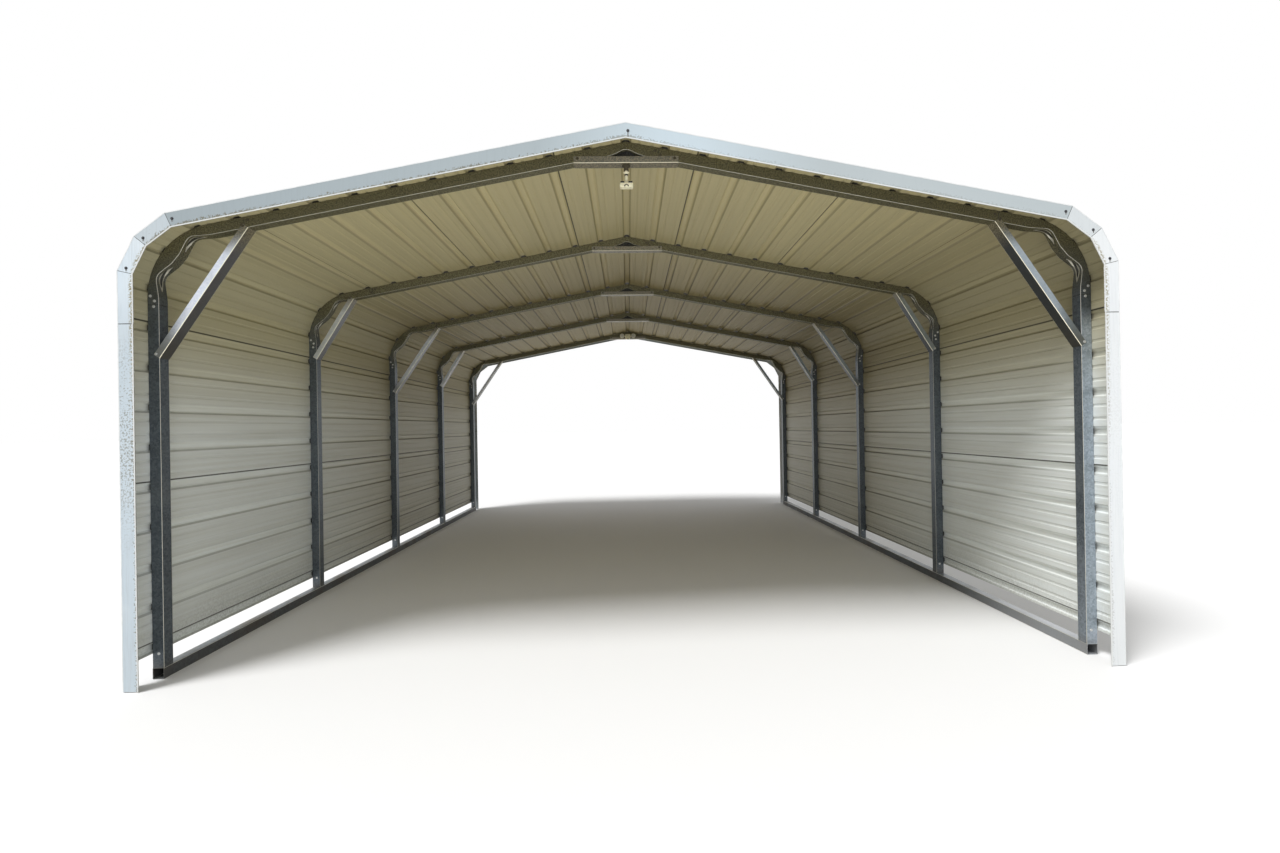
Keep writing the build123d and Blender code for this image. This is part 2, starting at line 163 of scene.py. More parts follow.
# Streaks, as how many fit in a metre along X, Y and Z
SHEET_STREAKS = (45.0, 0.8, 45.0)
TRIM_STREAKS = (120.0, 20.0, 6.0)
# How far past the trim's face the lip's painted highlight starts and is whole, and a fold's blurred edge
LIP_START = 0.0004
LIP_WHOLE = 0.0016
FOLD_BLUR = 0.002

# Camera, fitted to the photograph
IMAGE_WIDTH = 1280
FOCAL_PX = 528.2
SENSOR_MM = 36.0
VIEW_DEPTH = 300.0
CAMERA_PLACE = Vector((-0.0114, -6.1504, 1.3875))
CAMERA_YAW = 0.02169
CAMERA_PITCH = 0.00205
CAMERA_ROLL = -0.01658

# Studio
FLOOR_HALF = 150.0
FLOOR_DROP = 0.0005
SKY_STRENGTH = 0.48
KEY_STRENGTH = 2.5
KEY_SPREAD = math.radians(20)
KEY_AIM = Vector((0.5, 0.36, -1.0))
FILL_WATTS = 105.0
FILL_SIZE = (7.0, 2.5)
FILL_PLACE = (0.0, -5.6, 0.15)
FILL_AIM = Vector((0.0, 0.6, 1.0))

# Worked-out places
EAVE_TURN = math.pi / 2 - SLOPE
BEND_X = WIDTH / 2 - EAVE_RADIUS
BEND_Z = LEG_TOP + EAVE_STUB
ROOF_RUN = (BEND_X + EAVE_RADIUS * math.sin(SLOPE)) / math.cos(SLOPE)
BEND_RUN = EAVE_RADIUS * EAVE_TURN
APEX_Z = BEND_Z + EAVE_RADIUS * math.cos(SLOPE) + ROOF_RUN * math.sin(SLOPE)
FRAME_LINE = FRAME_SPACING * (FRAMES - 1)
LEG_JOINT_RUN = ROOF_RUN + BEND_RUN + EAVE_STUB
BRACE_SEAT = (TUBE + BRACE_CLEARANCE) / math.cos(SLOPE)
PEAK_WEB_Z = APEX_Z - PEAK_BRACE_LENGTH / 2 * math.tan(SLOPE) - BRACE_SEAT
TRIM_FACE_Y = cad_box[1][1] - TRIM_LIP
FIRST_FOLD_RUN = ROOF_RUN + BEND_RUN / (2 * TRIM_FOLDS)
SECOND_FOLD_RUN = FIRST_FOLD_RUN + BEND_RUN / TRIM_FOLDS
LEG_JOINTS = (LEG_JOINT_RUN, -LEG_JOINT_RUN)
ROOF_JOINTS = (EAVE_JOINT_RUN, -EAVE_JOINT_RUN, PEAK_JOINT_RUN)
ENDS = (-1, 1)
SIDES = (-1, 1)


def frame_y(number):
    return (number - 1) * FRAME_SPACING - FRAME_LINE / 2


def skin_point(run, out=0.0):
    """Point at a run along the frames' outer face from the ridge, and out from that face."""
    side = -1 if run < 0 else 1
    run = abs(run)
    if run <= ROOF_RUN:
        x = run * math.cos(SLOPE) + out * math.sin(SLOPE)
        z = APEX_Z - run * math.sin(SLOPE) + out * math.cos(SLOPE)
    elif run <= ROOF_RUN + BEND_RUN:
        turn = EAVE_TURN - (run - ROOF_RUN) / EAVE_RADIUS
        x = BEND_X + (EAVE_RADIUS + out) * math.cos(turn)
        z = BEND_Z + (EAVE_RADIUS + out) * math.sin(turn)
    else:
        x = WIDTH / 2 + out
        z = BEND_Z - (run - ROOF_RUN - BEND_RUN)
    return Vector((side * x, 0, z))


def trim_line(out, end_z):
    """Right half of the folded trim line, from the ridge round the eave to a height."""
    fold = EAVE_TURN / TRIM_FOLDS
    points = [Vector((0, 0, APEX_Z + out / math.cos(SLOPE)))]
    for number in range(TRIM_FOLDS):
        turn = EAVE_TURN - (number + 0.5) * fold
        radius = (EAVE_RADIUS + out) / math.cos(fold / 2)
        points.append(Vector((BEND_X + radius * math.cos(turn), 0, BEND_Z + radius * math.sin(turn))))
    points.append(Vector((WIDTH / 2 + out, 0, end_z)))
    return points


# Materials

def linear(hex_colour):
    """An sRGB hex colour as linear red, green, blue and alpha."""
    shares = [int(hex_colour[start:start + 2], 16) / 255 for start in (1, 3, 5)]
    bent = [c / 12.92 if c <= 0.04045 else ((c + 0.055) / 1.055) ** 2.4 for c in shares]
    return (*bent, 1.0)


def add(tree, kind, inputs=None, **settings):
    """Add a node; each input is a value, a hex colour, or the socket or node that feeds it.

    A colour Mix takes its share at 0, the colour below at 6 and the one laid over it at 7.
    """
    made = tree.nodes.new("ShaderNode" + kind)
    for name, value in settings.items():
        setattr(made, name, value)
    for key, value in (inputs or {}).items():
        if isinstance(value, bpy.types.Node):
            value = next(socket for socket in value.outputs if socket.enabled)
        if isinstance(value, bpy.types.NodeSocket):
            tree.links.new(value, made.inputs[key])
        else:
            made.inputs[key].default_value = linear(value) if isinstance(value, str) else value
    return made


def new_material(name, **shader_values):
    """A material with its tree, its shader with the given plain values, and object coordinates."""
    material = bpy.data.materials.new(name)
    material.use_nodes = True
    tree = material.node_tree
    shader = tree.nodes["Principled BSDF"]
    for socket, value in shader_values.items():
        shader.inputs[socket.replace("_", " ")].default_value = value
    return material, tree, shader, add(tree, "TexCoord").outputs["Object"]


def finish_material(tree, shader, colour, roughness, bump, depth):
    """Feed the shader its colour, roughness and relief, the relief's depth in metres."""
    relief = add(tree, "Bump", {"Height": bump, "Distance": depth, "Strength": 1.0})
    for socket, value in (("Base Color", colour), ("Roughness", roughness), ("Normal", relief)):
        source = next(s for s in value.outputs if s.enabled)
        tree.links.new(source, shader.inputs[socket])


def skin_coordinates(tree, place):
    """Run from the ridge round the frame's outer face, distance out from it, and its two offsets."""
    x, _, z = add(tree, "SeparateXYZ", {0: place}).outputs
    sideways = add(tree, "Math", {0: x}, operation="ABSOLUTE")
    dx = add(tree, "Math", {0: sideways, 1: BEND_X}, operation="SUBTRACT")
    dz = add(tree, "Math", {0: z, 1: BEND_Z}, operation="SUBTRACT")
    offset = add(tree, "CombineXYZ", {0: dx, 2: dz})
    past = add(
        tree, "VectorMath", {0: offset, 1: (math.cos(SLOPE), 0, -math.sin(SLOPE))}, operation="DOT_PRODUCT"
    ).outputs["Value"]
    above = add(
        tree, "VectorMath", {0: offset, 1: (math.sin(SLOPE), 0, math.cos(SLOPE))}, operation="DOT_PRODUCT"
    ).outputs["Value"]
    radius = add(tree, "VectorMath", {0: offset}, operation="LENGTH").outputs["Value"]
    turn = add(tree, "Math", {0: dz, 1: dx}, operation="ARCTAN2")
    wall_start = ROOF_RUN + BEND_RUN
    bend_run = add(tree, "Math", {0: turn, 1: -EAVE_RADIUS, 2: wall_start}, operation="MULTIPLY_ADD")
    wall_run = add(tree, "Math", {0: wall_start, 1: dz}, operation="SUBTRACT")
    roof_run = add(tree, "Math", {0: ROOF_RUN, 1: past}, operation="ADD")
    on_wall = add(tree, "Math", {0: dz, 1: 0.0}, operation="LESS_THAN")
    on_roof = add(tree, "Math", {0: past, 1: 0.0}, operation="LESS_THAN")
    run = add(tree, "Mix", {0: on_wall, 2: bend_run, 3: wall_run})
    run = add(tree, "Mix", {0: on_roof, 2: run, 3: roof_run})
    out = add(tree, "Mix", {0: on_wall, 2: radius, 3: dx})
    out = add(tree, "Mix", {0: on_roof, 2: out, 3: above})
    out = add(tree, "Math", {0: out, 1: EAVE_RADIUS}, operation="SUBTRACT")
    return run, out, dx, dz


def facing_out(tree, place, dx, dz):
    """1 on faces that look away from the bay, 0 on faces that look into it."""
    side = add(tree, "Math", {0: add(tree, "SeparateXYZ", {0: place}).outputs["X"]}, operation="SIGN")
    reach = add(tree, "Math", {0: dx, 1: 0.0}, operation="MAXIMUM")
    reach = add(tree, "Math", {0: reach, 1: side}, operation="MULTIPLY")
    rise = add(tree, "Math", {0: dz, 1: 0.0}, operation="MAXIMUM")
    away = add(tree, "CombineXYZ", {0: reach, 2: rise})
    normal = add(tree, "NewGeometry").outputs["Normal"]
    along = add(tree, "VectorMath", {0: away, 1: normal}, operation="DOT_PRODUCT").outputs["Value"]
    return add(tree, "Math", {0: along, 1: 0.0001}, operation="GREATER_THAN")


def facing_ends(tree):
    """1 on faces that look along the carport, 0 on faces that look across it."""
    normal = add(tree, "SeparateXYZ", {0: add(tree, "NewGeometry").outputs["Normal"]})
    return add(tree, "Math", {0: normal.outputs["Y"]}, operation="ABSOLUTE")


def past_frame(tree, y):
    """Distance along the carport past the nearest frame's middle, in frame spacings."""
    bay = add(tree, "Math", {0: y, 1: 1 / FRAME_SPACING, 2: 0.5}, operation="MULTIPLY_ADD")
    bay = add(tree, "Math", {0: bay}, operation="FRACT")
    return add(tree, "Math", {0: bay, 1: 0.5}, operation="SUBTRACT")


def zinc_crystals(tree, place, size):
    """A share that differs from one zinc crystal to the next."""
    cells = add(tree, "TexVoronoi", {"Vector": place, "Scale": 1 / size})
    return add(tree, "SeparateColor", {0: cells.outputs["Color"]})


def dust_film(tree, place, dark, pale, spread):
    """Colour of settled dust, mottled in grains."""
    grain = add(tree, "TexNoise", {"Vector": place, "Scale": 1 / DUST_GRAIN, "Detail": 3.0})
    grain = add(tree, "MapRange", {"Value": grain, "From Min": 0.5 - spread, "From Max": 0.5 + spread})
    return add(tree, "Mix", {0: grain, 6: dark, 7: pale}, data_type="RGBA")


def sunlit_share(tree, y, z, ends, right):
    """Share of painted sunlight on the front right leg, below the roof's shadow, mostly on its end faces.
    """
    sunlit = add(tree, "MapRange", {"Value": y, "From Min": -2.9, "From Max": -3.05, "To Max": 0.85})
    under = add(tree, "MapRange", {"Value": z, "From Min": 2.06, "From Max": 1.94})
    low = add(tree, "MapRange", {"Value": z, "From Min": 0.9, "From Max": 0.4, "To Max": 0.35})
    faces = add(tree, "Math", {0: ends, 1: low}, operation="MAXIMUM")
    for share in (right, under, faces):
        sunlit = add(tree, "Math", {0: sunlit, 1: share}, operation="MULTIPLY")
    return sunlit


def crimp_shade_and_highlight(tree, run, out, ends, middle, slant):
    """Shares of painted shade in the recess and of painted highlight along the edges of a bend's two
    crimps, each shaped like a lens.
    """
    along = add(tree, "Math", {0: run, 1: ROOF_RUN + BEND_RUN / 2}, operation="SUBTRACT")
    along = add(tree, "Math", {0: along}, operation="ABSOLUTE")
    along = add(tree, "Math", {0: along, 1: CRIMP_RUN}, operation="SUBTRACT")
    along = add(tree, "Math", {0: along, 1: CRIMP_HALF_LENGTH}, operation="DIVIDE")
    along = add(tree, "Math", {0: along, 1: along}, operation="MULTIPLY")
    widths = FRAME_SPACING / CRIMP_HALF_WIDTH
    lens = add(tree, "Math", {0: middle, 1: widths, 2: along}, operation="MULTIPLY_ADD")
    lens = add(tree, "Math", {0: lens, 1: 1.0}, operation="SUBTRACT")
    mouth = add(tree, "MapRange", {"Value": lens, "From Min": -0.05, "From Max": -0.25, "To Max": 0.85})
    steep = add(tree, "MapRange", {"Value": ends, "From Min": 0.84, "From Max": 0.8, "To Max": 0.85})
    crimp_shade = add(tree, "Math", {0: steep, 1: slant}, operation="MULTIPLY")
    crimp_shade = add(tree, "Math", {0: crimp_shade, 1: mouth}, operation="MAXIMUM")
    edge = add(tree, "Math", {0: lens}, operation="ABSOLUTE")
    rim = add(tree, "MapRange", {"Value": edge, "From Min": 0.25, "From Max": 0.14, "To Max": 0.85})
    across = add(tree, "MapRange", {"Value": ends, "From Min": 0.9, "From Max": 0.86})
    rim = add(tree, "Math", {0: rim, 1: across}, operation="MULTIPLY")
    inner_wall = add(tree, "MapRange", {"Value": out, "From Min": -0.026, "From Max": -0.032})
    crimp_shade = add(tree, "Math", {0: crimp_shade, 1: inner_wall}, operation="MULTIPLY")
    rim = add(tree, "Math", {0: rim, 1: inner_wall}, operation="MULTIPLY")
    return crimp_shade, rim


def rubbed_highlight_share(tree, ends, middle, slant, outside):
    """Share of painted highlight, with some worn bright metal, along a tube's inner corners and down the
    middle fold of each pinch.
    """
    rubbed_highlight = add(tree, "MapRange", {"Value": ends, "From Min": 0.12, "From Max": 0.22})
    wide, narrow = 0.0028 / FRAME_SPACING, 0.0016 / FRAME_SPACING
    crease_highlight = add(tree, "MapRange", {"Value": middle, "From Min": wide, "From Max": narrow, "To Max": 0.8})
    kept = add(tree, "Mix", {0: slant, 2: 1.0, 3: crease_highlight})
    faded = add(tree, "MapRange", {"Value": ends, "From Min": 0.84, "From Max": 0.8})
    inside = add(tree, "Math", {0: 1.0, 1: outside}, operation="SUBTRACT")
    for share in (kept, faded, inside):
        rubbed_highlight = add(tree, "Math", {0: rubbed_highlight, 1: share}, operation="MULTIPLY")
    return rubbed_highlight


def galvanised_tube():
    """Hot-dip galvanised, roll-formed steel tube, weathered outdoors.

    To the eye: a dull blue-grey metal broken up by small zinc crystals, with painted sunlight
    on the front right leg, and under the roof, where no rain comes, brown with settled dust that
    also carries painted shade and a painted olive reflection. A painted highlight runs along each
    inner corner, which is also worn, and round each crimp, whose recess is painted black as shade.
    """
    material, tree, shader, place = new_material("galvanised_steel_tube", Metallic=0.6)
    run, out, dx, dz = skin_coordinates(tree, place)
    x, y, z = add(tree, "SeparateXYZ", {0: place}).outputs
    ends = facing_ends(tree)
    middle = add(tree, "Math", {0: past_frame(tree, y)}, operation="ABSOLUTE")
    right = add(tree, "MapRange", {"Value": x, "From Min": 0.0, "From Max": 2.0})
    crystal = zinc_crystals(tree, place, TUBE_CRYSTAL)
    cloud = add(tree, "TexNoise", {"Vector": place, "Scale": 1 / TUBE_CLOUD, "Detail": 5.0})
    fine = add(tree, "TexNoise", {"Vector": place, "Scale": 1 / ZINC_GRAIN, "Detail": 2.0})

    bloom = add(tree, "MapRange", {"Value": cloud, "From Min": 0.5, "From Max": 0.75, "To Max": 0.3})
    # Painted sunlight: a pale zinc colour on the front right leg, below the roof's shadow
    sunlit = sunlit_share(tree, y, z, ends, right)
    sunlit_zinc = add(tree, "Mix", {0: crystal, 6: "#9da9b5", 7: "#c3cdd8"}, data_type="RGBA")
    # Brown under the roof: settled dust that also carries painted shade and a painted olive reflection
    dust = add(tree, "MapRange", {"Value": z, "From Min": 2.1, "From Max": 2.45, "To Max": 0.85})
    film = dust_film(tree, place, "#4f4b31", "#867f5b", 0.1)
    # Painted shade: the dust film is darker on the right
    film = add(tree, "Mix", {0: right, 6: film, 7: "#eeece4"}, data_type="RGBA", blend_type="MULTIPLY")
    splash = add(tree, "Math", {0: cloud, 1: 0.16, 2: z}, operation="MULTIPLY_ADD")
    soil = add(tree, "MapRange", {"Value": splash, "From Min": 0.19, "From Max": 0.09, "To Max": 0.6})
    slant = add(tree, "MapRange", {"Value": ends, "From Min": 0.7, "From Max": 0.76})
    # Painted shade in each crimp's recess and a painted highlight along its edges
    crimp_shade, rim = crimp_shade_and_highlight(tree, run, out, ends, middle, slant)
    # Painted highlight along the inner corners, which are also worn
    rubbed_highlight = rubbed_highlight_share(tree, ends, middle, slant, facing_out(tree, place, dx, dz))

    shade = add(tree, "Mix", {0: crystal, 6: "#4e555b", 7: "#666e75"}, data_type="RGBA")
    for share, colour in (
        (bloom, "#84898b"), (sunlit, sunlit_zinc), (dust, film), (soil, "#6a6255"),
        (crimp_shade, "#211f17"), (rim, "#c9c5b4"), (rubbed_highlight, "#d9d6c8"),
    ):
        shade = add(tree, "Mix", {0: share, 6: shade, 7: colour}, data_type="RGBA")
    dull = add(tree, "MapRange", {"Value": crystal, "To Min": 0.36, "To Max": 0.52})
    dull = add(tree, "Math", {0: dust, 1: 0.2, 2: dull}, operation="MULTIPLY_ADD")
    relief = add(tree, "Math", {0: crystal, 1: 0.4, 2: fine}, operation="MULTIPLY_ADD")
    finish_material(tree, shader, shade, dull, relief, 0.0001)
    return material


def galvanised_rail():
    """The same tube laid on the ground.

    To the eye: soil-splashed sides painted dark as shade, a greyer top with painted sunlight
    at the front right, and a painted highlight along the top edges, which are also worn.
    """
    material, tree, shader, place = new_material("galvanised_steel_rail", Metallic=0.55)
    x, y, _ = add(tree, "SeparateXYZ", {0: place}).outputs
    normal = add(tree, "SeparateXYZ", {0: add(tree, "NewGeometry").outputs["Normal"]}).outputs
    crystal = zinc_crystals(tree, place, RAIL_CRYSTAL)
    cloud = add(tree, "TexNoise", {"Vector": place, "Scale": 1 / RAIL_CLOUD, "Detail": 6.0})
    soil = add(tree, "MapRange", {"Value": cloud, "From Min": 0.48, "From Max": 0.7, "To Max": 0.6})
    # Painted shade: the upright sides are darker
    upright = add(tree, "Math", {0: normal["X"]}, operation="ABSOLUTE")
    upright = add(tree, "Math", {0: upright, 1: 0.6}, operation="MULTIPLY")
    # Painted sunlight on the top at the front right
    sunlit = add(tree, "MapRange", {"Value": y, "From Min": -1.6, "From Max": -2.6, "To Max": 0.8})
    right = add(tree, "Math", {0: x, 1: 0.0}, operation="GREATER_THAN")
    flat = add(tree, "MapRange", {"Value": upright, "To Min": 1.0, "To Max": 0.1})
    for share in (right, flat):
        sunlit = add(tree, "Math", {0: sunlit, 1: share}, operation="MULTIPLY")
    # Painted highlight along the top edges, which are also worn
    corner = add(tree, "Math", {0: normal["X"], 1: normal["Z"]}, operation="MULTIPLY")
    corner = add(tree, "Math", {0: corner}, operation="ABSOLUTE")
    rubbed_highlight = add(tree, "MapRange", {"Value": corner, "From Min": 0.1, "From Max": 0.2, "To Max": 0.8})
    shade = add(tree, "Mix", {0: crystal, 6: "#6f7477", 7: "#858b8e"}, data_type="RGBA")
    for share, colour in (
        (soil, "#857a68"), (upright, "#3c3b3c"), (sunlit, "#c9ccd0"), (rubbed_highlight, "#d3d2c6"),
    ):
        shade = add(tree, "Mix", {0: share, 6: shade, 7: colour}, data_type="RGBA")
    dull = add(tree, "MapRange", {"Value": soil, "To Min": 0.42, "To Max": 0.8})
    finish_material(tree, shader, shade, dull, cloud, 0.0004)
    return material


def galvanised_channel():
    """U-channel pressed from bright galvanised strip.

    To the eye: a paler, smoother metal than the tubes, its bluish white partly a painted
    reflection of sky, greyer on the right side, with webs painted dark as shade and a painted
    highlight along the thin bends, which are also worn. It is darker at a knee brace's foot, and
    brown and matt with dust under the roof.
    """
    material, tree, shader, place = new_material("galvanised_steel_channel")
    x, _, z = add(tree, "SeparateXYZ", {0: place}).outputs
    ends = facing_ends(tree)
    crystal = zinc_crystals(tree, place, CHANNEL_CRYSTAL)
    cloud = add(tree, "TexNoise", {"Vector": place, "Scale": 1 / CHANNEL_CLOUD, "Detail": 5.0})
    stain = add(tree, "MapRange", {"Value": cloud, "From Min": 0.5, "From Max": 0.75, "To Max": 0.4})
    # Painted shade: the webs, which face across, are darker
    web = add(tree, "MapRange", {"Value": ends, "From Min": 0.15, "From Max": 0.05, "To Max": 0.85})
    right = add(tree, "MapRange", {"Value": x, "From Min": 0.5, "From Max": 1.5})
    dust = add(tree, "MapRange", {"Value": z, "From Min": 2.42, "From Max": 2.54, "To Max": 0.88})
    film = dust_film(tree, place, "#565039", "#8f8566", 0.08)
    foot = add(tree, "MapRange", {"Value": z, "From Min": 2.0, "From Max": 1.88, "To Max": 0.6})
    # Painted highlight along the bends, which are also worn
    corner = add(tree, "MapRange", {"Value": ends, "From Min": 0.12, "From Max": 0.22})
    faded = add(tree, "MapRange", {"Value": ends, "From Min": 0.99, "From Max": 0.95})
    rubbed_highlight = add(tree, "Math", {0: corner, 1: faded}, operation="MULTIPLY")
    # The bluish-white base is partly a painted reflection of sky on the flanges
    shade = add(tree, "Mix", {0: crystal, 6: "#dde5f2", 7: "#edf2fa"}, data_type="RGBA")
    for share, colour, blend in (
        (stain, "#a9afb6", "MIX"), (web, "#4a4641", "MIX"), (right, "#b9bfbf", "MULTIPLY"),
        (dust, film, "MIX"), (foot, "#66635c", "MIX"), (rubbed_highlight, "#f0ead0", "MIX"),
    ):
        shade = add(tree, "Mix", {0: share, 6: shade, 7: colour}, data_type="RGBA", blend_type=blend)
    metal = add(tree, "MapRange", {"Value": dust, "To Min": 0.85, "To Max": 0.2})
    tree.links.new(metal.outputs["Result"], shader.inputs["Metallic"])
    dull = add(tree, "MapRange", {"Value": cloud, "To Min": 0.28, "To Max": 0.5})
    finish_material(tree, shader, shade, dull, crystal, 0.00005)
    return material


def backer_coat(tree, x, z, deep_shade, faint):
    """Colour of the sheets' inner coat.

    It is grey-white low on the walls and a beige backer under the roof, turned darker and
    warmer with height as painted shade and bounce light, and painted darker further in and
    round the right eave as shade.
    """
    coat = "#e9eeed"
    # Painted shade and bounce light: darker and more beige with height
    for low, high, colour in ((1.3, 2.2, "#c1bb9a"), (2.35, 2.85, "#c5ba90")):
        up = {"Value": z, "From Min": low, "From Max": high}
        risen = add(tree, "MapRange", up, interpolation_type="SMOOTHSTEP")
        coat = add(tree, "Mix", {0: risen, 6: coat, 7: colour}, data_type="RGBA")
    # Painted shade round the right eave, higher up
    eave = add(tree, "MapRange", {"Value": x, "From Min": 1.3, "From Max": 2.3})
    risen = add(tree, "MapRange", {"Value": z, "From Min": 1.6, "From Max": 2.1})
    eave = add(tree, "Math", {0: eave, 1: risen}, operation="MULTIPLY")
    # Painted shade further in and round the right eave, then faint streaks
    for share, colour, blend in (
        (deep_shade, "#dcd6cb", "MULTIPLY"), (eave, "#e0ddd8", "MULTIPLY"), (faint, "#a39d82", "MIX"),
    ):
        coat = add(tree, "Mix", {0: share, 6: coat, 7: colour}, data_type="RGBA", blend_type=blend)
    return coat


def rib_shade_line(tree, pitch, deep_shade):
    """Share of the painted shade line along each rib's lower corner, stronger further in."""
    start = add(tree, "MapRange", {"Value": pitch, "From Min": 0.085, "From Max": 0.1})
    stop = add(tree, "MapRange", {"Value": pitch, "From Min": 0.15, "From Max": 0.135})
    line = add(tree, "MapRange", {"Value": deep_shade, "To Min": 0.32, "To Max": 0.7})
    for share in (start, stop):
        line = add(tree, "Math", {0: line, 1: share}, operation="MULTIPLY")
    return line


def lap_line(tree, run):
    """Share of the dark line where one sheet laps over the next."""
    lap = add(tree, "Math", {0: run, 1: SHEET_PITCHES * RIB_PITCH}, operation="DIVIDE")
    lap = add(tree, "Math", {0: lap, 1: 0.5 - LAP_SEAM}, operation="ADD")
    lap = add(tree, "Math", {0: lap}, operation="FRACT")
    lap = add(tree, "Math", {0: lap, 1: 0.5}, operation="SUBTRACT")
    lap = add(tree, "Math", {0: lap}, operation="ABSOLUTE")
    return add(tree, "MapRange", {"Value": lap, "From Min": 0.0055, "From Max": 0.004, "To Max": 0.85})


def frame_notch_shade(tree, y, channel):
    """Share of the painted shade in the notch over each frame, where a rib stands off it."""
    bay = past_frame(tree, y)
    notch = add(tree, "MapRange", {"Value": bay, "From Min": -0.01, "From Max": -0.007, "To Max": 0.9})
    behind = add(tree, "MapRange", {"Value": bay, "From Min": 0.03, "From Max": 0.024})
    for share in (behind, channel):
        notch = add(tree, "Math", {0: notch, 1: share}, operation="MULTIPLY")
    return notch


def rib_dirt(tree, pitch, cloud):
    """Share of the dirt that rain leaves against each rib outside."""
    rising = add(tree, "MapRange", {"Value": pitch, "From Min": 0.7, "From Max": 0.86})
    falling = add(tree, "MapRange", {"Value": pitch, "From Min": 0.9, "From Max": 0.86})
    dirt = add(tree, "Math", {0: rising, 1: falling}, operation="MULTIPLY")
    return add(tree, "Math", {0: dirt, 1: cloud}, operation="MULTIPLY")


def coated_sheet():
    """Roll-formed steel sheet, coil coated: off-white polyester outside, thin backer coat inside.

    To the eye: a satin off-white skin outside with dirt washed against the ribs, and inside a
    chalky coat, beige under the roof and greyer on the walls, darker up high and further in as
    painted shade and bounce light. Each rib's channel is painted paler against its shade, the
    lines at the ribs and the notches over the frames are painted shade, and the laps have dark
    joint lines. Splashed soil fades out above its foot.
    """
    material, tree, shader, place = new_material("coil_coated_steel_sheet", Specular_IOR_Level=0.4)
    run, out, dx, dz = skin_coordinates(tree, place)
    outside = facing_out(tree, place, dx, dz)
    x, y, z = add(tree, "SeparateXYZ", {0: place}).outputs
    drawn = add(tree, "Mapping", {"Vector": place, "Scale": SHEET_STREAKS})
    streak = add(tree, "TexNoise", {"Vector": drawn, "Scale": 1.0, "Detail": 4.0})
    faint = add(tree, "MapRange", {"Value": streak, "From Min": 0.4, "From Max": 0.7, "To Max": 0.2})
    cloud = add(tree, "TexNoise", {"Vector": place, "Scale": 1 / SHEET_CLOUD, "Detail": 6.0})
    speck = add(tree, "TexNoise", {"Vector": place, "Scale": 1 / GRIME_SPECK, "Detail": 3.0})
    pitch = add(tree, "Math", {0: run, 1: RIB_PITCH}, operation="DIVIDE")
    pitch = add(tree, "Math", {0: pitch}, operation="FRACT")
    splash = add(tree, "Math", {0: cloud, 1: 0.55, 2: z}, operation="MULTIPLY_ADD")
    soiled = add(tree, "MapRange", {"Value": splash, "From Min": 0.66, "From Max": 0.4, "To Max": 0.25})
    grime = add(tree, "MapRange", {"Value": speck, "From Min": 0.42, "From Max": 0.62})
    soiled = add(tree, "Math", {0: soiled, 1: grime}, operation="MULTIPLY")

    # Painted shade further into the carport
    deep_shade = add(tree, "MapRange", {"Value": y, "From Min": -1.75, "From Max": -0.2})
    inner = backer_coat(tree, x, z, deep_shade, faint)
    # Painted light: each rib's channel is made paler against its shade
    channel = add(tree, "MapRange", {"Value": out, "From Min": 0.004, "From Max": 0.012})
    painted_channel_light = add(tree, "MapRange", {"Value": channel, "To Min": 1.0, "To Max": 1.12})
    inner = add(tree, "VectorMath", {0: inner, "Scale": painted_channel_light}, operation="SCALE")
    # Painted shade lines at the ribs and notches over the frames; dark lap joints and splashed soil
    for share, colour in (
        (rib_shade_line(tree, pitch, deep_shade), "#4d4936"), (lap_line(tree, run), "#26241c"),
        (frame_notch_shade(tree, y, channel), "#1f1c15"), (soiled, "#6e6a5c"),
    ):
        inner = add(tree, "Mix", {0: share, 6: inner, 7: colour}, data_type="RGBA")
    outer = add(tree, "Mix", {0: faint, 6: "#d6d7d2", 7: "#c6c7c0"}, data_type="RGBA")
    for share, colour in ((rib_dirt(tree, pitch, cloud), "#8d897b"), (soiled, "#7a7566")):
        outer = add(tree, "Mix", {0: share, 6: outer, 7: colour}, data_type="RGBA")

    shade = add(tree, "Mix", {0: outside, 6: inner, 7: outer}, data_type="RGBA")
    dull = add(tree, "MapRange", {"Value": outside, "To Min": 0.55, "To Max": 0.38})
    dull = add(tree, "Math", {0: faint, 1: 0.3, 2: dull}, operation="MULTIPLY_ADD")
    finish_material(tree, shader, shade, dull, streak, 0.0004)
    return material


def roof_shade_film(tree, x, run):
    """Colour of the painted shade with a grey film on the trim's roof stretches, darker on the left and
    painted paler near the apex, and its share, less past each fold.
    """
    # Painted shade: darker towards the left
    side = add(tree, "MapRange", {"Value": x, "From Min": 1.5, "From Max": -2.4})
    film = add(tree, "Mix", {0: side, 6: "#b6c1c6", 7: "#98a4aa"}, data_type="RGBA")
    # Painted light: paler near the apex
    apex = add(tree, "Math", {0: x, 1: 0.3}, operation="SUBTRACT")
    apex = add(tree, "Math", {0: apex}, operation="ABSOLUTE")
    apex = add(tree, "MapRange", {"Value": apex, "From Min": 0.8, "From Max": 0.1, "To Max": 0.8})
    film = add(tree, "Mix", {0: apex, 6: film, 7: "#d0e2ee"}, data_type="RGBA")
    laid = 0.0
    for fold, most in ((FIRST_FOLD_RUN, 0.88), (SECOND_FOLD_RUN, 0.4)):
        edge = {"From Min": fold + FOLD_BLUR, "From Max": fold - FOLD_BLUR}
        above = add(tree, "MapRange", {"Value": run, **edge, "To Max": most})
        laid = add(tree, "Math", {0: laid, 1: above}, operation="MAXIMUM")
    return film, laid


